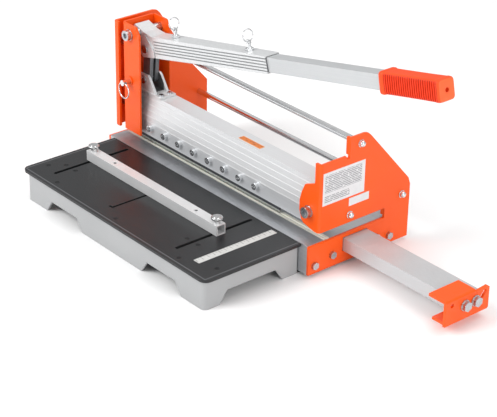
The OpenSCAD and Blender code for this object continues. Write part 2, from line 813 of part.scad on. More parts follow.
// Rounded rectangle with its front corners at radius r and square at the rear
module front_round(x, y0, y1, r) {
    difference() {
        translate([-x, y0]) square([2 * x, y1 - y0]);
        for (side = [-1, 1]) difference() {
            translate([side * (x - r / 2 + EPS / 2), y0 + r / 2 - EPS / 2]) square(r + EPS, center = true);
            translate([side * (x - r), y0 + r]) circle(r = r);
        }
    }
}

corner_r = 12;
table_screw_at = [[-200, -172], [200, -172], [-145, -194], [0, -194], [145, -194],
                  [slot_left - 12, -151], [slot_left + 12, -151], [slot_right - 12, -151],
                  [slot_right + 12, -151]];

module table_top() {
    z0 = bed_top - table_t;
    color("#2b2b2d") difference() {
        translate([0, 0, z0]) linear_extrude(table_t)
            front_round(table_w / 2, table_front, table_rear, corner_r);
        y_slot(slot_left, slot_front, slot_back, slot_w, z0 - EPS, bed_top + EPS);
        y_slot(slot_right, slot_front, slot_back, slot_w, z0 - EPS, bed_top + EPS);
        y_slot(slot_mid, slot_front + 2, slot_rear_y, slot_w - 2, z0 - EPS, bed_top + EPS);
        // short hooks at both ends of the middle slot
        box([slot_mid - 7, slot_front + 2, z0 - EPS], [slot_mid, slot_front + 5.5, bed_top + EPS]);
        box([slot_mid, slot_rear_y - 3.5, z0 - EPS], [slot_mid + 11, slot_rear_y, bed_top + EPS]);
        for (at = table_screw_at) {
            z_rod(1.8, z0 - EPS, bed_top + EPS, at[0], at[1]);
            z_rod(3.5, bed_top - 1.5, bed_top + EPS, at[0], at[1]);
        }
    }
}

module table_screws() {
    color("black") for (at = table_screw_at) {
        z_rod(1.7, bed_top - 14, bed_top - 1.5, at[0], at[1]);
        z_rod(3.4, bed_top - 1.5, bed_top - 0.4, at[0], at[1]);
    }
}

// Upright opening under the skirt, wider at the ground
module skirt_cut(a, b) {
    polygon([[a, -EPS], [b, -EPS], [b, 0], [b - cut_slope, cut_h], [a + cut_slope, cut_h], [a, 0]]);
}

module table_skirt() {
    top = bed_top - table_t;
    gap_in = table_mid_w / 2;
    gap_out = skirt_w / 2 - table_foot_w;
    rear = table_rear;
    color("lightgray") difference() {
        union() {
            difference() {
                linear_extrude(top) front_round(skirt_w / 2, skirt_front, rear, 7);
                translate([0, 0, -EPS]) linear_extrude(top + 2 * EPS)
                    front_round(skirt_w / 2 - skirt_t, skirt_front + skirt_t, rear - skirt_t, 4);
            }
            // bosses under the table's screws
            for (at = table_screw_at) difference() {
                z_rod(4.5, cut_h, top, at[0], at[1]);
                z_rod(1.75, cut_h + 10, top + EPS, at[0], at[1]);
            }
            // ribs that join the bosses to the walls
            for (x = [-145, 0, 145]) box([x - 1, skirt_front + 1, cut_h + 4], [x + 1, -197, top]);
            for (side = [-1, 1]) mirror([side < 0 ? 1 : 0, 0, 0])
                box([203, -173, cut_h + 4], [208, -171, top]);
            for (x = [slot_left - 12, slot_left + 12, slot_right - 12, slot_right + 12])
                box([x - 1, skirt_front + 1, cut_h + 8], [x + 1, -154, top]);
        }
        for (side = [-1, 1]) mirror([side < 0 ? 1 : 0, 0, 0])
            along_y(skirt_front - EPS, skirt_front + skirt_t + EPS) skirt_cut(gap_in, gap_out);
        along_x(-table_w / 2, table_w / 2) skirt_cut(skirt_front + 27, rear - 27);
        for (x = [-140, 140]) y_rod(3.1, rear - skirt_t - EPS, rear + EPS, x, table_bolt_z);
    }
}

// Bolts that hold the table's rear wall against the bed
module table_bolts() {
    z = table_bolt_z;
    nut_y0 = bed_front + bed_wall;
    color("silver") for (x = [-140, 140]) {
        y_rod(2.9, table_rear - skirt_t, nut_y0 + 6, x, z);
        y_rod(5, table_rear - skirt_t - 4, table_rear - skirt_t, x, z);
        washer_y(7, 2.8, table_rear, bed_front, [x, z]);
        nut_y(10, 2.8, nut_y0, nut_y0 + 5, [x, z]);
    }
}

module ruler_strip() {
    color("white") box([162, slot_front - 1, bed_top], [174, table_rear - 6, bed_top + 0.4]);
}

module fence_tube() {
    h = fence_w / 2;
    z = bed_top + 0.3;
    color("gainsboro") difference() {
        box([fence_x0, fence_y - h, z], [fence_x1, fence_y + h, z + fence_w]);
        box([fence_x0 - EPS, fence_y - h + fence_wall, z + fence_wall],
            [fence_x1 + EPS, fence_y + h - fence_wall, z + fence_w - fence_wall]);
        for (x = [slot_left, slot_left + 54, slot_right - 46, slot_right])
            z_rod(fence_r + 0.1, z - EPS, z + fence_w + EPS, x, fence_y);
    }
}

thumb_top = bed_top + 0.3 + fence_w;

// Thumbscrew: flat round head, short neck, long shank down through the table
module thumbscrew(x) {
    color("silver") {
        z_rod(fence_r, bed_top - 14, thumb_top + 0.1, x, fence_y);
        z_rod(5, thumb_top + 0.1, thumb_top + 5, x, fence_y);
        z_rod(8.5, thumb_top + 5, thumb_top + 9, x, fence_y);
        z_rod(6.8, thumb_top + 9, thumb_top + 10, x, fence_y);
    }
}

module left_thumbscrew() { thumbscrew(slot_left); }
module right_thumbscrew() { thumbscrew(slot_right); }

// Square slide nuts under the table that the thumbscrews draw up
module fence_nuts() {
    z1 = bed_top - table_t - 0.2;
    color("silver") for (x = [slot_left, slot_right]) difference() {
        box([x - 6, fence_y - 6, z1 - 4], [x + 6, fence_y + 6, z1]);
        z_rod(fence_r + 0.06, z1 - 5, z1 + EPS, x, fence_y);
    }
}

module support_rail() {
    y0 = rail_y - rail_w / 2;
    z0 = rail_z - rail_h / 2;
    w = rail_wall;
    color("silver") difference() {
        box([rail_start, y0, z0], [rail_end, y0 + rail_w, z0 + rail_h]);
        box([rail_start - EPS, y0 + w, z0 + w], [rail_end - 12, y0 + rail_w - w, z0 + rail_h - w]);
        for (at = support_bolt_at) x_rod(3.9, rail_end - 13, rail_end + EPS, at[0], at[1]);
    }
}

support_bolt_at = [[41.5, rail_z], [61.5, rail_z]];

module support_bracket() {
    x0 = rail_end;
    x1 = rail_end + bracket_t;
    color("orangered") difference() {
        union() {
            along_x(x0, x1) polygon([[5, bracket_low], [86, bracket_low], [88, bracket_low + 2],
                [88, bed_top - 5], [84, bed_top - 2], [62, bed_top - 4], [61, bed_top], [5, bed_top]]);
            box([x1 - 32, 5, bed_top - bracket_t], [x1, 61, bed_top]);
            box([x1 - 26, 8, bracket_low], [x1, 86, bracket_low + bracket_t]);
        }
        mirror([0, 0, 1]) translate([0, 0, -bed_top - 5]) fold_top_cut(x1);
        for (at = support_bolt_at) x_rod(4.2, x0 - EPS, x1 + EPS, at[0], at[1]);
        x_rod(3, x0 - EPS, x1 + EPS, 17, 40.5);
        // slanted oval slot near the outer edge
        translate([0, 76.5, 37.5]) rotate([-36, 0, 0]) {
            box([x0 - EPS, -3.2, -4], [x1 + EPS, 3.2, 4]);
            x_rod(3.2, x0 - EPS, x1 + EPS, 0, -4);
            x_rod(3.2, x0 - EPS, x1 + EPS, 0, 4);
        }
    }
}

// Rounds the bend between the bracket's face and its upper shelf
module fold_top_cut(x) {
    r = 4;
    difference() {
        box([x - r, 4, 5 - EPS], [x + EPS, 62, 5 + r]);
        translate([x - r, 3, 5 + r]) rotate([-90, 0, 0]) cylinder(r = r, h = 60);
    }
}

module support_bolts() {
    color("silver") for (at = support_bolt_at) {
        x_rod(3.8, rail_end - 12, rail_end + bracket_t, at[0], at[1]);
        x_rod(8, rail_end + bracket_t, rail_end + bracket_t + 1.6, at[0], at[1]);
        x_hex(13, rail_end + bracket_t + 1.6, rail_end + bracket_t + 7, at);
    }
}

module rating_label() {
    color("white") box([half, -14, under + 41], [half + 0.4, 64, under + 90.5]);
}

module size_label() {
    color("white") box([half, 36, under + 26], [half + 0.4, 74, under + 38]);
}

module beam_label() {
    color("orange") box([33, 3, beam_top], [80, 13, beam_top + 0.4]);
}

bed();
cutting_strip();
bed_feet();
near_end_plate();
far_end_plate();
bed_bolts();
lever_tower();
tower_bolts();
tower_spacers();
guide_pads();
upper_tie_rod();
rear_tie_rod();
front_tie_rod();
rod_bolts();
beam();
pivot_bush();
pivot_bolt();
pivot_washers();
pivot_nut();
blade();
blade_screws();
clevis_bracket();
clevis_screws();
link();
upper_link_pin();
lower_link_pin();
lever_head();
lever_bolt();
lever_nut();
lever_spacers();
handle_sleeve();
tang_pin_barrel();
tang_pin();
tang_pin_ring();
tube_pin_barrel();
tube_pin();
tube_pin_ring();
inner_tube();
grip();
lock_pin_bush();
lock_pin();
lock_pin_ring();
table_top();
table_skirt();
table_screws();
table_bolts();
ruler_strip();
fence_tube();
left_thumbscrew();
right_thumbscrew();
fence_nuts();
support_rail();
support_bracket();
support_bolts();
rating_label();
size_label();
beam_label();
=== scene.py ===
import math
import bpy
import numpy as np
from mathutils import Matrix, Vector


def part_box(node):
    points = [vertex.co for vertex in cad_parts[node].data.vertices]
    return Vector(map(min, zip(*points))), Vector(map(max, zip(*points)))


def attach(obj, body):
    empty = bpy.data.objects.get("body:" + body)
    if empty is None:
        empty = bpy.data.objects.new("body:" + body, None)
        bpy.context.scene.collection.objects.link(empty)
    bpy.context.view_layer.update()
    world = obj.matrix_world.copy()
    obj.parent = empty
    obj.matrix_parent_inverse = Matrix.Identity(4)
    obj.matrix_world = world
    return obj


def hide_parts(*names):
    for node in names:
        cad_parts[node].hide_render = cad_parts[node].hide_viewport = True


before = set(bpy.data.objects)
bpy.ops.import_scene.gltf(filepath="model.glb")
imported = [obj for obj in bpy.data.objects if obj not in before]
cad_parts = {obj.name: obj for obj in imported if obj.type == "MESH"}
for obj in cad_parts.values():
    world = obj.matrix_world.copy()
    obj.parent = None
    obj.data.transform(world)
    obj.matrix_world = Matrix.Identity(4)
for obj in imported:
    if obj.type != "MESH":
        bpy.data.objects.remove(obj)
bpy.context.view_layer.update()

# ---------------------------------------------------------------- camera, floor and light
# A product shot from the front right and above with a long lens, on a pale seamless
# floor. Three soft boxes light it: a key over the front left, a weaker fill from the
# right, and one overhead behind for the metal's upper faces.

VIEW_AZIMUTH = 49.48
VIEW_ELEVATION = 27.58
VIEW_ROLL = -1.03
LENS_LENGTH = 124.05
SENSOR_WIDTH = 36
FLOOR_REACH = 9
camera_place = Vector((1.7450, -1.4388, 1.1854))

turn = math.radians(VIEW_AZIMUTH)
dip = math.radians(VIEW_ELEVATION)
roll = math.radians(VIEW_ROLL)
ahead = Vector((-math.sin(turn) * math.cos(dip), math.cos(turn) * math.cos(dip), -math.sin(dip)))
level_right = Vector((math.cos(turn), math.sin(turn), 0))
level_down = ahead.cross(level_right)
right = math.cos(roll) * level_right + math.sin(roll) * level_down
up = ahead.cross(right) * -1

camera = bpy.data.objects.new("camera", bpy.data.cameras.new("camera"))
bpy.context.scene.collection.objects.link(camera)
camera.data.sensor_width = SENSOR_WIDTH
camera.data.lens = LENS_LENGTH
camera.data.clip_start = 0.05
camera.data.clip_end = 60
camera.matrix_world = Matrix((
    (right.x, up.x, -ahead.x, camera_place.x),
    (right.y, up.y, -ahead.y, camera_place.y),
    (right.z, up.z, -ahead.z, camera_place.z),
    (0, 0, 0, 1)))
bpy.context.scene.camera = camera

floor_mesh = bpy.data.meshes.new("floor")
floor_corners = [(FLOOR_REACH * x, FLOOR_REACH * y, 0) for x, y in ((-1, -1), (1, -1), (1, 1), (-1, 1))]
floor_mesh.from_pydata(floor_corners, [], [(0, 1, 2, 3)])
floor = bpy.data.objects.new("floor", floor_mesh)
bpy.context.scene.collection.objects.link(floor)
floor_paint = bpy.data.materials.new("floor_paper")
floor_paint.use_nodes = True
paper = floor_paint.node_tree.nodes["Principled BSDF"]
paper.inputs["Base Color"].default_value = (0.93, 0.93, 0.93, 1)
paper.inputs["Roughness"].default_value = 0.9
paper.inputs["Specular IOR Level"].default_value = 0.1
floor_mesh.materials.append(floor_paint)

world = bpy.data.worlds.new("studio")
world.use_nodes = True
sky = world.node_tree
sky.nodes["Background"].inputs["Strength"].default_value = 0.7
sky_place = sky.nodes.new("ShaderNodeTexCoord")
sky_split = sky.nodes.new("ShaderNodeSeparateXYZ")
sky_ramp = sky.nodes.new("ShaderNodeValToRGB")
sky_ramp.color_ramp.elements[0].position = 0.05
sky_ramp.color_ramp.elements[0].color = (0.42, 0.42, 0.43, 1)
sky_ramp.color_ramp.elements[1].position = 0.55
sky_ramp.color_ramp.elements[1].color = (1, 1, 1, 1)
sky.links.new(sky_place.outputs["Generated"], sky_split.inputs["Vector"])
sky.links.new(sky_split.outputs["Z"], sky_ramp.inputs["Fac"])
sky.links.new(sky_ramp.outputs["Color"], sky.nodes["Background"].inputs["Color"])
bpy.context.scene.world = world
bpy.context.scene.view_settings.view_transform = "Standard"


def studio_light(name, place, aim, size, watts):
    """A square soft box of the given side, placed and turned to face the aim point."""
    lamp = bpy.data.lights.new(name, "AREA")
    lamp.size = size
    lamp.energy = watts
    holder = bpy.data.objects.new(name, lamp)
    bpy.context.scene.collection.objects.link(holder)
    holder.location = place
    holder.rotation_euler = (Vector(aim) - Vector(place)).to_track_quat("-Z", "Y").to_euler()


studio_light("key_light", (-0.7, -2.1, 1.7), (0, 0, 0.1), 1.4, 50)
studio_light("fill_light", (2.5, -0.3, 1.1), (0.1, 0, 0.15), 1.5, 25)
studio_light("top_light", (0.3, 0.9, 2.6), (0, 0, 0.1), 1.6, 16)

# ---------------------------------------------------------------- folded steel in orange
# Two end plates, the lever tower and the support's bracket are folded from 3 and 4 mm
# steel sheet and powder coated, and the lock pin's bush is coated with its tower. The
# coat is satin, with a faint peel in its surface, fine specks and a slow change of tone.


def sheen(hexadecimal):
    """Turns a six-digit colour as seen on a screen into the linear colour of a shader."""
    parts = [int(hexadecimal[i:i + 2], 16) / 255 for i in (0, 2, 4)]
    return tuple(c / 12.92 if c <= 0.04045 else ((c + 0.055) / 1.055) ** 2.4 for c in parts) + (1,)


class Wire:
    """One output in a material's nodes. Arithmetic on wires and numbers adds Math nodes;
    the method node adds any other kind of node to the same material."""

    def __init__(self, tree, socket=None):
        self.tree = tree
        self.socket = socket

    def node(self, kind, settings=None, inputs=None, out=0):
        """Adds a node of that kind. Settings are set first, with "stops" for a ramp's
        positions and colours; then each input takes its value or its wire."""
        made = self.tree.nodes.new(kind)
        for key, value in (settings or {}).items():
            if key == "stops":
                ramp = made.color_ramp.elements
                while len(ramp) < len(value):
                    ramp.new(0.5)
                for stop, (position, colour) in zip(ramp, value):
                    stop.position = position
                    stop.color = colour
            else:
                setattr(made, key, value)
        for key, value in (inputs or {}).items():
            if isinstance(value, Wire):
                self.tree.links.new(value.socket, made.inputs[key])
            else:
                made.inputs[key].default_value = value
        return Wire(self.tree, made.outputs[out])

    def maths(self, operation, a, b):
        return self.node("ShaderNodeMath", {"operation": operation}, {0: a, 1: b})

    def __add__(self, other):
        return self.maths("ADD", self, other)

    def __radd__(self, other):
        return self.maths("ADD", other, self)

    def __sub__(self, other):
        return self.maths("SUBTRACT", self, other)

    def __rsub__(self, other):
        return self.maths("SUBTRACT", other, self)

    def __mul__(self, other):
        return self.maths("MULTIPLY", self, other)

    def __rmul__(self, other):
        return self.maths("MULTIPLY", other, self)

    def __gt__(self, other):
        return self.maths("GREATER_THAN", self, other)

    def __lt__(self, other):
        return self.maths("LESS_THAN", self, other)

    def size(self):
        """The value without its sign."""
        return self.maths("ABSOLUTE", self, 0)

    def place(self, turn_y=0, offset=(0, 0, 0)):
        """Object coordinates measured from an offset, then turned about Y."""
        here = self.node("ShaderNodeTexCoord", out="Object")
        moved = self.node("ShaderNodeVectorMath", {"operation": "SUBTRACT"}, {0: here, 1: offset})
        return self.node("ShaderNodeMapping", None, {"Vector": moved, "Rotation": (0, turn_y, 0)})

    def along(self, axis, vector):
        """One coordinate of a vector."""
        return self.node("ShaderNodeSeparateXYZ", None, {"Vector": vector}, out=axis)

    def grain(self, vector, scale, stretch=(1, 1, 1), detail=2.0):
        """Noise from 0 to 1 whose grains are about one over the scale wide, in metres; the
        stretch multiplies the scale along each axis."""
        drawn = self.node("ShaderNodeMapping", None, {"Vector": vector, "Scale": stretch})
        return self.node("ShaderNodeTexNoise", None, {"Vector": drawn, "Scale": scale, "Detail": detail})

    def blend(self, share, first, second):
        """Mixes two colours: none of the second at share 0, all of it at share 1."""
        return self.node("ShaderNodeMix", {"data_type": "RGBA"},
                         {"Factor": share, 6: first, 7: second}, out=2)

    def smooth_edge(self, value, low, high):
        """Runs from 0 at low to 1 at high, easing at both ends."""
        return self.node("ShaderNodeMapRange", {"interpolation_type": "SMOOTHSTEP"},
                         {"Value": value, "From Min": low, "From Max": high})

    def rounded(self, radius, height, depth, strength):
        """Edges rounded to the radius for the light, with a height field added over them."""
        edge = self.node("ShaderNodeBevel", {"samples": 4}, {"Radius": radius})
        return self.node("ShaderNodeBump", None,
                         {"Strength": strength, "Distance": depth, "Height": height, "Normal": edge})


def finish(name, **surface):
    """A new material and the wire to draw its nodes with; the named surface values that are
    plain numbers or colours go straight on the shader."""
    made = bpy.data.materials.new(name)
    made.use_nodes = True
    shader = made.node_tree.nodes["Principled BSDF"]
    for key, value in surface.items():
        shader.inputs[key.replace("_", " ").title().replace("Ior", "IOR")].default_value = value
    return made, Wire(made.node_tree), shader


def feed(made, shader, **wires):
    """Joins wires to the shader's Base Color, Roughness, Metallic or Normal."""
    for key, wire in wires.items():
        made.node_tree.links.new(wire.socket, shader.inputs[key.replace("_", " ").title()])
    return made


def dress(made, *nodes):
    """Gives a finish to CAD nodes, in every material slot they have."""
    for node in nodes:
        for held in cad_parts[node].material_slots:
            held.material = made


made, draw, shader = finish("orange_powder_coat", coat_weight=0.06, coat_roughness=0.25,
                            specular_ior_level=0.3)
here = draw.place()
peel = draw.grain(here, 620, detail=1.0)
cloud = draw.grain(here, 9)
speck = draw.grain(here, 2600, detail=0.0)
hue = draw.blend(cloud, sheen("f5510a"), sheen("fb5e0e"))
hue = draw.blend(draw.smooth_edge(speck, 0.62, 0.8) * 0.18, hue, sheen("ff6c2a"))
orange_coat = feed(made, shader, base_color=hue, roughness=0.3 + cloud * 0.12,
                   normal=draw.rounded(0.0009, peel, 0.00012, 0.5))
dress(orange_coat, "near_end_plate", "far_end_plate", "lever_tower", "support_bracket", "lock_pin_bush")

# ---------------------------------------------------------------- bed
# The bed is a wide aluminium extrusion cut to length between the end plates. Its top
# carries the die's fine lines and the scuffs of the planks pushed over it.

made, draw, shader = finish("bed_extrusion", metallic=0.85)
here = draw.place()
lines = draw.grain(here, 1.0, stretch=(3, 700, 700), detail=3.0)
scuff = draw.smooth_edge(draw.grain(here, 26, stretch=(3, 1, 1), detail=4.0), 0.45, 0.75)
hue = draw.blend(lines, sheen("b3b6ba"), sheen("cfd1d4"))
hue = draw.blend(scuff * 0.3, hue, sheen("9fa2a6"))
dress(feed(made, shader, base_color=hue, roughness=0.34 + scuff * 0.14 + lines * 0.06,
           normal=draw.rounded(0.0006, lines, 0.00008, 0.4)), "bed")

# ---------------------------------------------------------------- cutting strip
# Off-white nylon: a replaceable strip let into the bed under the blade, scored along its
# middle.

made, draw, shader = finish("nylon", roughness=0.5, subsurface_weight=0.08)
here = draw.place()
score = 1 - draw.smooth_edge(draw.along("Y", here).size(), 0.0002, 0.0011)
mottle = draw.grain(here, 60, detail=3.0)
hue = draw.blend(mottle, sheen("dedaca"), sheen("ece9dd"))
hue = draw.blend(score * 0.75, hue, sheen("8b8778"))
dress(feed(made, shader, base_color=hue, normal=draw.rounded(0.0005, mottle, 0.00015, 0.3)),
      "cutting_strip")

# ---------------------------------------------------------------- guide pads
# Two black nylon blocks inside the lever tower. The end of the beam slides between
# them, which keeps it upright as it rises; their faces are rubbed in that direction.

made, draw, shader = finish("black_nylon")
here = draw.place()
rubbed = draw.grain(here, 80, stretch=(1, 1, 0.2), detail=4.0)
dress(feed(made, shader, base_color=draw.blend(rubbed, sheen("1d1d1f"), sheen("343436")),
           roughness=0.38 + rubbed * 0.2, normal=draw.rounded(0.0006, rubbed, 0.0001, 0.3)), "guide_pads")

# ---------------------------------------------------------------- feet
# Five black rubber feet screwed under the bed, moulded matt and dusty from the
# workshop floor.

made, draw, shader = finish("foot_rubber")
here = draw.place()
dust = draw.grain(here, 300, detail=4.0)
dress(feed(made, shader, base_color=draw.blend(dust, sheen("1b1b1c"), sheen("2c2c2d")),
           roughness=0.62 + dust * 0.2, normal=draw.rounded(0.0005, dust, 0.0002, 0.4)), "bed_feet")

# ---------------------------------------------------------------- plated fasteners
# Bolts, nuts, washers and spacers in bright zinc: turned or cold headed, then plated,
# with a soft bluish mottle.

made, draw, shader = finish("bright_zinc", metallic=1.0)
here = draw.place()
mottle = draw.grain(here, 210, detail=4.0)
turned = draw.grain(here, 1500, detail=1.0)
dress(feed(made, shader, base_color=draw.blend(mottle, sheen("a9adb2"), sheen("d0d2d4")),
           roughness=0.2 + mottle * 0.16, normal=draw.rounded(0.0006, turned, 0.00005, 0.5)),
      "bed_bolts", "tower_bolts", "tower_spacers", "pivot_bolt", "pivot_washers", "pivot_nut",
      "clevis_screws", "lever_bolt", "lever_nut", "table_bolts", "fence_nuts", "support_bolts",
      "upper_link_pin", "lower_link_pin", "lever_spacers")

# ---------------------------------------------------------------- chromed pieces
# The tie rods between the end plates, their dome bolts, the blade's cap screws and the
# pull pins with their rings: ground steel under polished chrome, with faint hairlines.

made, draw, shader = finish("polished_chrome", metallic=1.0)
here = draw.place()
hair = draw.grain(here, 1.0, stretch=(60, 2600, 2600), detail=2.0)
smear = draw.grain(here, 45, detail=3.0)
dress(feed(made, shader, base_color=draw.blend(smear, sheen("d4d6d8"), sheen("eeeff0")),
           roughness=0.07 + smear * 0.1 + hair * 0.04, normal=draw.rounded(0.0005, hair, 0.00003, 0.4)),
      "upper_tie_rod", "rear_tie_rod", "front_tie_rod", "rod_bolts", "blade_screws",
      "lock_pin", "lock_pin_ring", "tang_pin_barrel", "tang_pin",
      "tang_pin_ring", "tube_pin_barrel", "tube_pin", "tube_pin_ring")

# ---------------------------------------------------------------- blade beam
# A hollow aluminium extrusion with a flat clamping band below and four shallow facets
# leaning back above it. Satin anodised, so the die's lines show as a soft grain; the
# band under the facets is darkened with painted shade.

BAND_HEIGHT = 0.022
beam_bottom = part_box("beam")[0].z
made, draw, shader = finish("beam_anodised", metallic=0.4)
here = draw.place()
height = draw.along("Z", here) - beam_bottom
lines = draw.grain(here, 1.0, stretch=(2, 900, 900), detail=3.0)
matt = draw.grain(here, 1800, detail=1.0)
band = 1 - draw.smooth_edge(height, BAND_HEIGHT - 0.0005, BAND_HEIGHT + 0.0005)
hue = draw.blend(lines, sheen("d7d8da"), sheen("e7e8e9"))
# painted shade on the upright band under the facets
hue = draw.blend(band * 0.22, hue, sheen("8f959c"))
dress(feed(made, shader, base_color=hue, roughness=0.36 + lines * 0.1 - band * 0.06,
           normal=draw.rounded(0.0006, lines * 0.7 + matt * 0.3, 0.00008, 0.3)), "beam")

# ---------------------------------------------------------------- bronze bush
# The bush pressed into the beam's pivot hole, sintered bronze with open pores that
# hold its oil.

made, draw, shader = finish("sintered_bronze", metallic=1.0)
here = draw.place()
pores = draw.grain(here, 1400, detail=2.0)
dress(feed(made, shader, base_color=draw.blend(pores, sheen("8d6a3a"), sheen("bd9859")),
           roughness=0.32 + pores * 0.2, normal=draw.rounded(0.0004, pores, 0.0001, 0.5)), "pivot_bush")

# ---------------------------------------------------------------- blade
# Hardened tool steel, ground on both sides of the edge; the flanks keep the dark skin
# of the heat treatment.

GROUND_HEIGHT = 0.0051
blade_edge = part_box("blade")[0].z
made, draw, shader = finish("ground_blade_steel", metallic=1.0)
here = draw.place()
from_edge = draw.along("Z", here) - blade_edge
ground = 1 - draw.smooth_edge(from_edge, GROUND_HEIGHT - 0.0003, GROUND_HEIGHT + 0.0003)
strokes = draw.grain(here, 1.0, stretch=(2400, 2400, 40), detail=2.0)
skin = draw.grain(here, 70, detail=4.0)
hue = draw.blend(skin, sheen("3b3c40"), sheen("57585b"))
hue = draw.blend(ground, hue, draw.blend(strokes, sheen("a8abae"), sheen("d8dadc")))
dress(feed(made, shader, base_color=hue, roughness=0.34 + skin * 0.1 - ground * 0.12,
           normal=draw.rounded(0.0003, strokes, 0.00005, 0.5)), "blade")

# ---------------------------------------------------------------- lever castings
# The fork at the lever's head, the sleeve that slips over its tang and the clevis on
# the beam are cast in aluminium and sprayed with a silver-white lacquer. The grooves in
# the sleeve's sides carry painted shade and are rougher, its mouth carries a painted
# shadow round the inner tube, and painted shade fills the space between the clevis's ears.

LEVER_TILT = math.radians(12.5)
FULCRUM_X = -0.196
FULCRUM_Z = 0.224
LEVER_MIDDLE_Y = 0.009
SLEEVE_AXIS = -0.021
SLEEVE_START = 0.0335
GROOVE_FLOOR = 0.0127
GROOVE_REACH = 0.0104
MOUTH_START = 0.2955
MOUTH_REACH = 0.0114
CLEVIS_MIDDLE = (-0.182, LEVER_MIDDLE_Y, 0.1505)
EAR_GAP = 0.0091
EAR_SHADE_LENGTH = 0.019
EAR_SHADE_HEIGHT = 0.016

made, draw, shader = finish("silver_lacquer", metallic=0.35, coat_weight=0.1, coat_roughness=0.3)
here = draw.place(turn_y=LEVER_TILT, offset=(FULCRUM_X, LEVER_MIDDLE_Y, FULCRUM_Z))
across = draw.along("Y", here).size()
off_axis = (draw.along("Z", here) - SLEEVE_AXIS).size()
down_lever = draw.along("X", here)
shaded_groove = (across < GROOVE_FLOOR) * (off_axis < GROOVE_REACH) * (down_lever > SLEEVE_START)
skin = draw.grain(here, 240, detail=3.0)
fleck = draw.grain(here, 2400, detail=0.0)
hue = draw.blend(skin, sheen("cfd1d2"), sheen("e4e5e6"))
# painted shade in the sleeve's grooves
hue = draw.blend(shaded_groove * 0.75, hue, sheen("66686b"))
mouth_shadow = (down_lever > MOUTH_START) * (across < MOUTH_REACH) * (off_axis < MOUTH_REACH)
# painted shadow in the sleeve's mouth, round the inner tube
hue = draw.blend(mouth_shadow * 0.85, hue, sheen("2c2c2e"))
spot = draw.place(offset=CLEVIS_MIDDLE)
shade_between_ears = ((draw.along("Y", spot).size() < EAR_GAP) * (draw.along("X", spot).size() < EAR_SHADE_LENGTH)
                * (draw.along("Z", spot).size() < EAR_SHADE_HEIGHT))
# painted shade between the clevis's ears, near black
hue = draw.blend(shade_between_ears * (0.72 + skin * 0.2), hue, sheen("18181a"))
dress(feed(made, shader, base_color=hue, roughness=0.34 + skin * 0.12 + shaded_groove * 0.2,
           normal=draw.rounded(0.0009, skin * 0.6 + fleck * 0.4, 0.00012, 0.45)),
      "lever_head", "handle_sleeve", "clevis_bracket")

# ---------------------------------------------------------------- link
# Two thick steel bars joined by a web, blackened and oiled; it pulls the beam down when
# the lever comes down, so its edges are rubbed bare.

made, draw, shader = finish("oiled_link_steel", metallic=0.7)
here = draw.place()
rub = draw.grain(here, 120, stretch=(1, 1, 0.3), detail=4.0)
dress(feed(made, shader, base_color=draw.blend(rub, sheen("5f6164"), sheen("8e9093")),
           roughness=0.34 + rub * 0.18, normal=draw.rounded(0.0008, rub, 0.0001, 0.4)), "link")

# ---------------------------------------------------------------- drawn tubes
# The lever's inner tube and the support's wider rail are aluminium tube, left as drawn:
# fine lines along the tube, with handling marks over them. The fence is a smaller one,
# anodised paler.

for tube_finish, dull, bright, lean, tubes in (
        ("drawn_tube", "b8babc", "ced0d1", LEVER_TILT, ("inner_tube", "support_rail")),
        ("fence_anodised", "d2d3d4", "e8e8e8", 0, ("fence_tube",))):
    made, draw, shader = finish(tube_finish, metallic=0.35)
    here = draw.place(turn_y=lean)
    lines = draw.grain(here, 1.0, stretch=(4, 800, 800), detail=3.0)
    marks = draw.grain(here, 40, detail=4.0)
    dress(feed(made, shader, base_color=draw.blend(lines * 0.6 + marks * 0.4, sheen(dull), sheen(bright)),
               roughness=0.3 + marks * 0.12 + lines * 0.05,
               normal=draw.rounded(0.0007, lines, 0.00006, 0.35)), *tubes)

# ---------------------------------------------------------------- grip
# A moulded rubber grip pushed over the end of the inner tube: a rounded square with a
# smooth collar, 24 ribs on each side face, a plain top and underside, and a flat
# end with the vent hole of its mould. Its side faces carry painted shade, deepest
# between the ribs, and its end face a painted highlight.

GRIP_START = 0.523
GRIP_LENGTH = 0.108
GRIP_HALF_WIDTH = 0.0150
GRIP_HALF_HEIGHT = 0.0158
RIB_COUNT = 24
RIB_FIRST = 0.0112
RIB_PITCH = 0.00395
RIB_DEPTH = 0.0021
RIB_ROWS = 420
GRIP_COLUMNS = 144
SECTION_POWER = 7
HOLE_RADIUS = 0.0032
HOLE_DEPTH = 0.012
TUBE_HALF = 0.0106


def surface_piece(name, points):
    """A mesh from a grid of points, rows along the piece and columns round it; the last
    column joins the first."""
    rows, columns = points.shape[:2]
    mesh = bpy.data.meshes.new(name)
    row = np.arange(rows - 1)[:, None] * columns
    this = np.arange(columns)[None, :]
    after = (this + 1) % columns
    corners = [row + this, row + after, row + columns + after, row + columns + this]
    faces = np.stack(corners, -1).reshape(-1, 4)
    mesh.vertices.add(rows * columns)
    mesh.vertices.foreach_set("co", points.reshape(-1).astype(np.float32))
    mesh.loops.add(faces.size)
    mesh.loops.foreach_set("vertex_index", faces.reshape(-1).astype(np.int32))
    mesh.polygons.add(len(faces))
    mesh.polygons.foreach_set("loop_start", np.arange(0, faces.size, 4, dtype=np.int32))
    mesh.polygons.foreach_set("use_smooth", np.full(len(faces), True))
    mesh.update(calc_edges=True)
    mesh.validate()
    piece = bpy.data.objects.new(name, mesh)
    bpy.context.scene.collection.objects.link(piece)
    return piece


def ease(value, low, high):
    """0 below low, 1 above high, and a smooth cubic between them."""
    t = np.clip((value - low) / (high - low), 0, 1)
    return t * t * (3 - 2 * t)


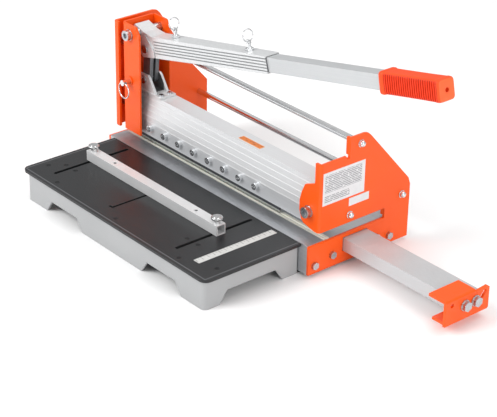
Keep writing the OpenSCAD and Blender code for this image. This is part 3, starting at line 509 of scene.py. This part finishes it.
def grip_surface():
    """Distance along the grip by angle round it. The section is a superellipse of the
    power given above, and its half width and half height follow a profile: a rounded
    collar, a slight waist, a rounded end. A groove between two ribs is the low part of a
    cosine along the grip, pressed in sideways only, and it fades towards the top and
    bottom corners. The last rows run in over the flat end to the hole and down it, and
    the first two close the collar onto the tube."""
    collar = np.array([
        [0.0000, 0.80], [0.0004, 0.90], [0.0014, 0.975], [0.0030, 1.0], [0.0066, 1.0],
        [0.0080, 0.97], [0.0092, 0.945]])
    middle = np.linspace(0.0094, GRIP_LENGTH - 0.0088, RIB_ROWS)
    waist = 0.94 - 0.012 * np.sin(np.pi * (middle - middle[0]) / (middle[-1] - middle[0]))
    end = np.array([
        [GRIP_LENGTH - 0.0082, 0.955], [GRIP_LENGTH - 0.0066, 0.965], [GRIP_LENGTH - 0.0034, 0.95],
        [GRIP_LENGTH - 0.0014, 0.915], [GRIP_LENGTH - 0.0004, 0.87], [GRIP_LENGTH, 0.81]])
    along = np.concatenate([collar[:, 0], middle, end[:, 0]])
    wide = np.concatenate([collar[:, 1], waist, end[:, 1]])
    angle = np.linspace(0, 2 * np.pi, GRIP_COLUMNS, endpoint=False)
    cosine, sine = np.cos(angle), np.sin(angle)
    power = 2 / SECTION_POWER
    y = np.sign(cosine) * np.abs(cosine) ** power
    v = np.sign(sine) * np.abs(sine) ** power
    phase = (along - RIB_FIRST) / RIB_PITCH
    inside = (phase > -0.5) & (phase < RIB_COUNT - 0.5)
    ridge = ease(np.cos(2 * np.pi * phase), -0.75, 0.35)
    side = ease(np.abs(y), 0.95, 0.998) * (1 - ease(np.abs(v), 0.80, 0.95))
    push = RIB_DEPTH * (ridge[:, None] - 0.85) * side[None, :] * np.sign(y)[None, :]
    push = push * inside[:, None]
    points = np.empty((len(along), len(angle), 3))
    points[..., 0] = along[:, None]
    points[..., 1] = GRIP_HALF_WIDTH * wide[:, None] * y[None, :] + push
    points[..., 2] = GRIP_HALF_HEIGHT * wide[:, None] * v[None, :]
    share = np.linspace(0, 1, 7)[1:, None]
    ring_y = HOLE_RADIUS * cosine
    ring_z = HOLE_RADIUS * sine
    cap = np.empty((len(share), len(angle), 3))
    cap[..., 0] = GRIP_LENGTH + 0.0003 * np.sin(np.pi * share * 0.9)
    cap[..., 1] = points[-1, :, 1][None, :] * (1 - share) + ring_y[None, :] * share
    cap[..., 2] = points[-1, :, 2][None, :] * (1 - share) + ring_z[None, :] * share
    well = cap[-1:].repeat(3, 0)
    well[:, :, 0] -= np.array([0.001, HOLE_DEPTH, HOLE_DEPTH])[:, None]
    well[2, :, 1:] *= 0.02
    neck = points[:1].repeat(2, 0)
    neck[0, :, 0] = 0.0006
    neck[0, :, 1] = TUBE_HALF * y
    neck[0, :, 2] = TUBE_HALF * v
    neck[1, :, 1:] = points[0, :, 1:] * 0.97
    return np.concatenate([neck, points, cap, well])


def onto_lever(points, start):
    """Carries points from the lever's own frame to the object's: shift along the lever,
    drop to the sleeve's axis, turn by the lever's tilt about the fulcrum."""
    u = points[..., 0] + start
    v = points[..., 2] + SLEEVE_AXIS
    placed = np.empty_like(points)
    placed[..., 0] = FULCRUM_X + u * math.cos(LEVER_TILT) - v * math.sin(LEVER_TILT)
    placed[..., 1] = points[..., 1] + LEVER_MIDDLE_Y
    placed[..., 2] = FULCRUM_Z + u * math.sin(LEVER_TILT) + v * math.cos(LEVER_TILT)
    return placed


grip = surface_piece("rubber_grip", onto_lever(grip_surface(), GRIP_START))
made, draw, shader = finish("orange_rubber", specular_ior_level=0.3)
here = draw.place(turn_y=LEVER_TILT, offset=(FULCRUM_X, LEVER_MIDDLE_Y, FULCRUM_Z))
pebble = draw.grain(here, 1500, detail=1.0)
rubbed = draw.grain(here, 70, detail=3.0)
run = draw.along("X", here) - (GRIP_START + RIB_FIRST)
shaded_side = (draw.smooth_edge(draw.along("Y", here).size(), 0.0108, 0.0126)
           * (1 - draw.smooth_edge((draw.along("Z", here) - SLEEVE_AXIS).size(), 0.0124, 0.0140))
           * (run > -0.5 * RIB_PITCH) * (run < (RIB_COUNT - 0.5) * RIB_PITCH))
between = 1 - draw.smooth_edge(draw.maths("COSINE", run * (2 * math.pi / RIB_PITCH), 0), -0.8, 0.1)
hue = draw.blend(rubbed, sheen("ec4312"), sheen("f55420"))
# painted shade on the side faces, darker than the top
hue = draw.blend(shaded_side * 0.8, hue, sheen("ec3810"))
# painted shade deep in the grooves between the ribs
hue = draw.blend(shaded_side * between * 0.85, hue, sheen("8c1204"))
to_end = GRIP_LENGTH - RIB_FIRST
# painted highlight on the flat end face
lit_end = draw.smooth_edge(run, to_end - 0.0009, to_end - 0.0003)
hue = draw.blend(lit_end * 0.55, hue, sheen("ff7846"))
grip.data.materials.append(feed(made, shader, base_color=hue, roughness=0.46 + rubbed * 0.12,
                                normal=draw.node("ShaderNodeBump", None, {
                                    "Strength": 0.4, "Distance": 0.00012, "Height": pebble})))
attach(grip, "extension")
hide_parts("grip")

# ---------------------------------------------------------------- table top
# A moulded plastic deck, charcoal, with a fine leather grain and a painted highlight
# line just inside its edge, where its rounded rim would catch the light.

LINE_INSET = 0.0045
top_low, top_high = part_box("table_top")
made, draw, shader = finish("table_plastic", specular_ior_level=0.4)
here = draw.place()
to_side = top_high.x - draw.along("X", here).size()
to_front = draw.along("Y", here) - top_low.y
from_edge = draw.maths("MINIMUM", to_side, to_front)
# painted highlight: the pale line just inside the deck's edge
highlight_line = (draw.smooth_edge(from_edge, LINE_INSET - 0.0006, LINE_INSET)
               * (1 - draw.smooth_edge(from_edge, LINE_INSET + 0.0008, LINE_INSET + 0.0016)))
cells = draw.node("ShaderNodeTexVoronoi", {"feature": "SMOOTH_F1"}, {"Vector": here, "Scale": 900.0})
wear = draw.grain(here, 16, detail=5.0)
hue = draw.blend(wear, sheen("18191b"), sheen("262729"))
hue = draw.blend(highlight_line * 0.6, hue, sheen("77797c"))
dress(feed(made, shader, base_color=hue, roughness=0.26 + wear * 0.16,
           normal=draw.rounded(0.0009, cells, 0.00025, 0.5)), "table_top")

# ---------------------------------------------------------------- table skirt
# The stand under the deck: one deep tray with trapezoid cut-outs between its feet, light
# grey with a fine spray texture.

made, draw, shader = finish("skirt_lacquer", coat_weight=0.08, coat_roughness=0.4)
here = draw.place()
spray = draw.grain(here, 1300, detail=2.0)
tone = draw.grain(here, 8, detail=3.0)
dress(feed(made, shader, base_color=draw.blend(tone, sheen("9fa0a1"), sheen("adaeaf")),
           roughness=0.46 + spray * 0.12, normal=draw.rounded(0.0012, spray, 0.00018, 0.5)), "table_skirt")

# ---------------------------------------------------------------- deck screws
# Small countersunk screws that hold the deck on its skirt, blackened, with bare steel
# showing where the driver has rubbed.

made, draw, shader = finish("blackened_screw", metallic=0.6)
here = draw.place()
wear = draw.grain(here, 500, detail=3.0)
dress(feed(made, shader, base_color=draw.blend(wear, sheen("161617"), sheen("38383a")),
           roughness=0.35 + wear * 0.2, normal=draw.rounded(0.0004, wear, 0.0001, 0.5)), "table_screws")

# ---------------------------------------------------------------- ruler
# A thin printed strip stuck on the deck: off-white, a tick each 5 mm and a longer one
# each 10 mm, measured from the blade.

made, draw, shader = finish("ruler_print", roughness=0.4)
here = draw.place()
from_blade = draw.along("Y", here)
from_left = draw.along("X", here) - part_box("ruler_strip")[0].x


def ticks(step, line, reach):
    """1 on lines of the given width, one each step from the blade, as long as the reach
    from the strip's left edge, and 0 elsewhere."""
    return (draw.maths("PINGPONG", from_blade, step / 2) < line / 2) * (from_left < reach)


ink = draw.maths("MAXIMUM", ticks(0.005, 0.0006, 0.004), ticks(0.01, 0.0008, 0.0075))
age = draw.grain(here, 90, detail=3.0)
hue = draw.blend(age, sheen("bdbdba"), sheen("cfcfcc"))
dress(feed(made, shader, base_color=draw.blend(ink * 0.85, hue, sheen("55575a")),
           normal=draw.rounded(0.0002, age, 0.00005, 0.3)), "ruler_strip")

# ---------------------------------------------------------------- thumbscrews
# Two thumbscrews clamp the fence to the deck: a turned and knurled head on a stepped
# neck, nickel plated, with a plain shank down through the slot.

KNURL_COUNT = 36
HEAD_RADIUS = 0.0085
KNURL_DEPTH = 0.00035


def thumbscrew_surface(x, y, low, top):
    """Height by angle. The radius follows a turned profile, and on the head's rim the
    knurl takes off a cosine of the angle; both ends close on the axis."""
    profile = np.array([
        [low, 0.00005], [low, 0.0021], [low + 0.0005, 0.0025], [top - 0.0102, 0.0025],
        [top - 0.0100, 0.0048], [top - 0.0098, 0.0050], [top - 0.0054, 0.0050],
        [top - 0.0051, 0.0053], [top - 0.0050, 0.0072], [top - 0.0047, HEAD_RADIUS - 0.0004],
        [top - 0.0043, HEAD_RADIUS], [top - 0.0032, HEAD_RADIUS], [top - 0.0016, HEAD_RADIUS],
        [top - 0.0011, HEAD_RADIUS - 0.0005], [top - 0.0009, 0.0070], [top - 0.0008, 0.0066],
        [top - 0.0001, 0.0062], [top, 0.0058], [top - 0.0003, 0.0030], [top - 0.0004, 0.00005]])
    angle = np.linspace(0, 2 * np.pi, KNURL_COUNT * 4, endpoint=False)
    rim = ((profile[:, 1] > HEAD_RADIUS - 0.00045) * 1.0)[:, None]
    tooth = KNURL_DEPTH * (np.cos(KNURL_COUNT * angle) - 1)[None, :] * 0.5
    radius = profile[:, 1][:, None] + tooth * rim
    points = np.empty((len(profile), len(angle), 3))
    points[..., 0] = x + radius * np.cos(angle)
    points[..., 1] = y + radius * np.sin(angle)
    points[..., 2] = profile[:, 0][:, None]
    return points


made, draw, shader = finish("nickel_plate", metallic=1.0)
here = draw.place()
rings = draw.grain(here, 1.0, stretch=(900, 900, 2400), detail=2.0)
tone = draw.grain(here, 130, detail=3.0)
nickel = feed(made, shader, base_color=draw.blend(tone, sheen("bfc0c1"), sheen("dedede")),
              roughness=0.18 + tone * 0.12, normal=draw.rounded(0.0003, rings, 0.00005, 0.5))
for side in ("left", "right"):
    low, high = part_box(side + "_thumbscrew")
    screw = surface_piece(side + "_thumb_head", thumbscrew_surface(
        (low.x + high.x) / 2, (low.y + high.y) / 2, low.z, high.z))
    crease = screw.modifiers.new("crease", "EDGE_SPLIT")
    crease.split_angle = math.radians(38)
    screw.data.materials.append(nickel)
    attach(screw, side + "_thumb")
    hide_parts(side + "_thumbscrew")

# ---------------------------------------------------------------- printed labels
# Thin vinyl stickers on the near end plate: a white data plate carrying only plain grey
# bars for its lines, and a small blank white one below it.

LINE_PITCH = 0.0027
plate_low, plate_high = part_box("rating_label")
made, draw, shader = finish("label_vinyl", roughness=0.32, coat_weight=0.2, coat_roughness=0.1)
here = draw.place()
drop = plate_high.z - draw.along("Z", here)
run = draw.along("Y", here) - plate_low.y
row = draw.maths("PINGPONG", drop, LINE_PITCH / 2)
bars = draw.smooth_edge(row, 0.0006, 0.0008)
word_places = draw.node("ShaderNodeMapping", None, {"Vector": here, "Scale": (1, 260, 370)})
bars = bars * (draw.grain(word_places, 1.0, detail=1.0) > 0.37)
upper_block = (drop > 0.004) * (drop < 0.031) * (run > 0.0035) * (run < 0.072)
lower_block = (drop > 0.036) * (drop < 0.0455) * (run > 0.0035) * (run < 0.05)
shade = draw.grain(here, 120, detail=2.0)
hue = draw.blend(shade, sheen("d6d6d8"), sheen("e6e6e7"))
printed = bars * draw.maths("MAXIMUM", upper_block, lower_block)
hue = draw.blend(printed * 0.8, hue, sheen("565a60"))
dress(feed(made, shader, base_color=hue, normal=draw.rounded(0.0002, shade, 0.00004, 0.3)),
      "rating_label", "size_label")

# ---------------------------------------------------------------- beam sticker
# A plain orange-brown sticker on top of the beam, mottled, inside a paler border.

tag_low, tag_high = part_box("beam_label")
made, draw, shader = finish("sticker_vinyl", roughness=0.35, coat_weight=0.2, coat_roughness=0.1)
here = draw.place()
from_x = draw.maths("MINIMUM", draw.along("X", here) - tag_low.x, tag_high.x - draw.along("X", here))
from_y = draw.maths("MINIMUM", draw.along("Y", here) - tag_low.y, tag_high.y - draw.along("Y", here))
inward = draw.maths("MINIMUM", from_x, from_y)
border = 1 - draw.smooth_edge(inward, 0.0010, 0.0013)
tone = draw.smooth_edge(draw.grain(here, 260, detail=3.0), 0.42, 0.66)
hue = draw.blend(tone, sheen("d8741f"), sheen("a8561a"))
hue = draw.blend(border * 0.8, hue, sheen("ea9a55"))
dress(feed(made, shader, base_color=hue, normal=draw.rounded(0.0002, tone, 0.00004, 0.3)), "beam_label")
